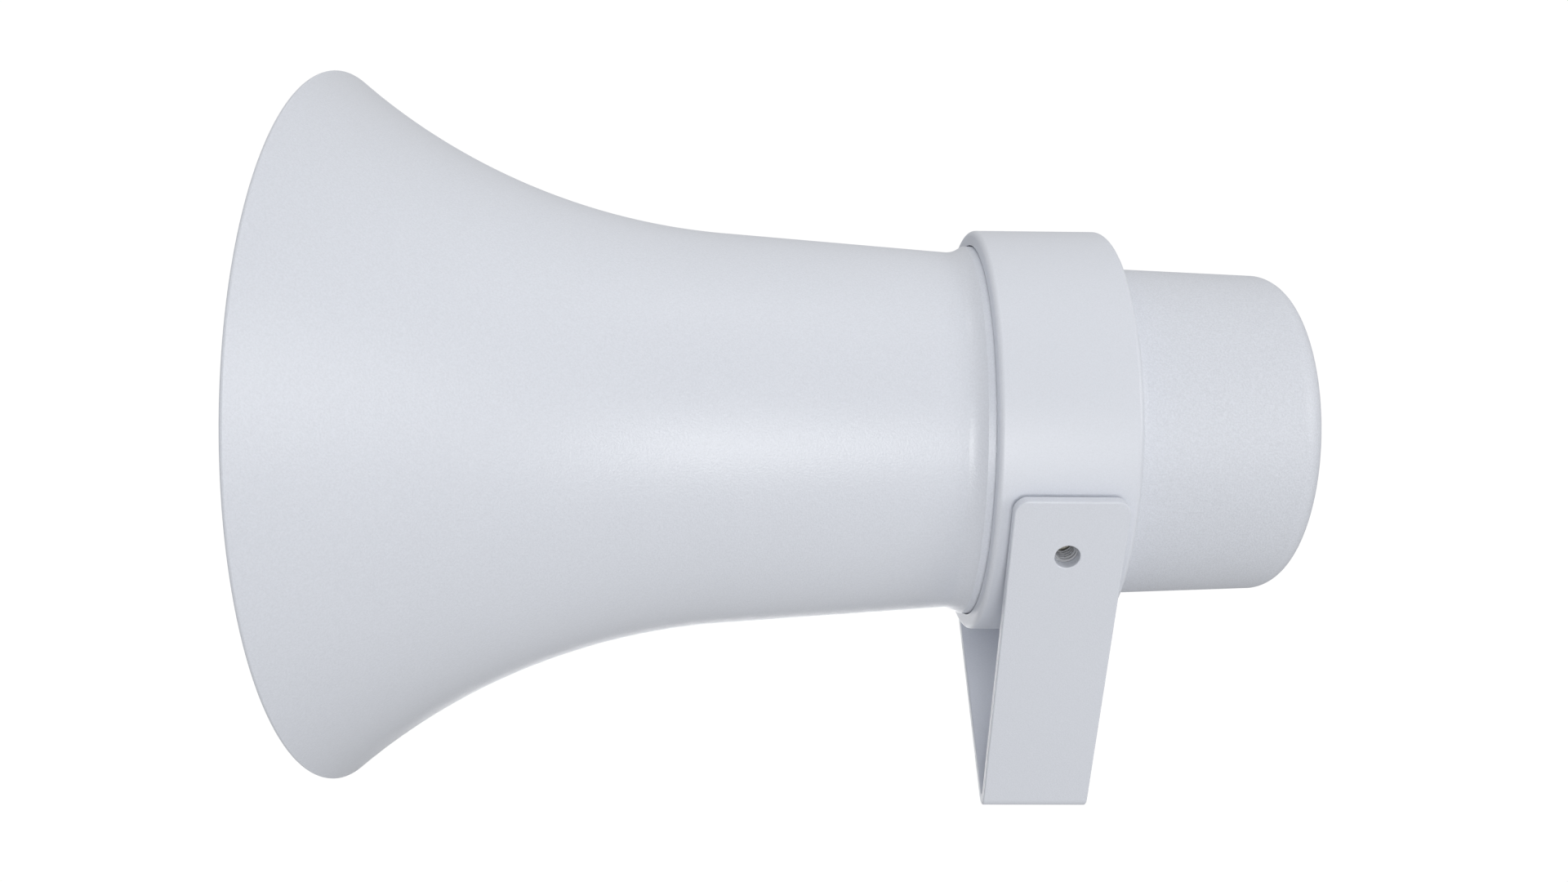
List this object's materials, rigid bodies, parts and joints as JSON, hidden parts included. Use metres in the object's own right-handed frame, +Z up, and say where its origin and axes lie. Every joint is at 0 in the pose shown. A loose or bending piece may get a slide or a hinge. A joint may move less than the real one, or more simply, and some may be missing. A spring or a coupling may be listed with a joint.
{
  "type": "horn loudspeaker",
  "caption": "Flared horn loudspeaker with a reflector cup and driver inside, held in a mounting ring on a V-shaped stirrup strap.",
  "frame": {"origin": "the middle of the horn's mouth, on the horn axis and in the plane of the rim", "axes": "+X along the horn axis towards the rear cover, so the mouth faces -X; +Z up, away from the stirrup's bend; +Y across the horn"},
  "size_m": [0.2755, 0.2, 0.2076],
  "materials": {
    "shell_white": "fine textured satin, cool off-white",
    "strap_white": "satin powder coat, cool off-white",
    "moulding_white": "matte moulding, cool off-white",
    "steel": "zinc plated",
    "magnet_black": "matte ferrite",
    "cast_alloy": "die cast",
    "brass": "plain",
    "winding": "taped winding",
    "lead_red": "insulated wire",
    "rubber": "matte",
    "nylon": "natural nylon",
    "grey_plastic": "matte",
    "dark_plastic": "matte"
  },
  "bodies": {
    "mount": {"stirrup_strap": "strap_white", "ring_band": "strap_white", "saddle_pads": "strap_white", "thread_bushes": "steel", "friction_liner": "nylon", "thrust_rings": "nylon"},
    "horn": {"horn_bell": "shell_white", "throat_tube": "moulding_white", "reflector_cup": "moulding_white", "reflector_screws": "steel", "driver_gasket": "rubber", "driver_plate": "cast_alloy", "driver_mount_screws": "steel", "phase_plug": "grey_plastic", "diaphragm_surround": "nylon", "diaphragm_gasket": "grey_plastic", "top_plate": "steel", "motor_screws": "steel", "magnet": "magnet_black", "yoke": "steel", "driver_terminals": "brass", "driver_leads": "lead_red", "rear_cover": "shell_white", "cover_gasket": "rubber", "cover_screws": "steel", "transformer_core": "steel", "transformer_coil": "winding", "transformer_bracket": "steel", "bracket_screws": "steel", "terminal_block": "dark_plastic", "terminal_screws": "brass", "supply_leads": "lead_red", "tap_switch": "dark_plastic", "switch_nut": "steel", "gland_body": "grey_plastic", "gland_locknut": "grey_plastic", "gland_seal": "rubber"},
    "diaphragm": {"diaphragm_dome": "nylon", "voice_coil": "winding"},
    "selector": {"tap_shaft": "steel", "tap_knob": "dark_plastic"},
    "gland_cap": {"gland_nut": "grey_plastic"}
  },
  "joints": [
    {"name": "ring_swivel", "type": "hinge", "parent": "mount", "child": "horn", "pos_m": [0.1955, 0, 0], "axis": [1, 0, 0], "continuous": true},
    {"name": "diaphragm_stroke", "type": "slide", "parent": "horn", "child": "diaphragm", "axis": [1, 0, 0], "range_m": [-0.0004, 0.0004], "stiffness_N_per_m": 20000},
    {"name": "tap_select", "type": "hinge", "parent": "horn", "child": "selector", "pos_m": [0.2625, 0, 0.019], "axis": [1, 0, 0], "range_deg": [-60, 60]},
    {"name": "gland_turn", "type": "hinge", "parent": "horn", "child": "gland_cap", "pos_m": [0.2665, 0, -0.019], "axis": [1, 0, 0], "continuous": true}
  ]
}
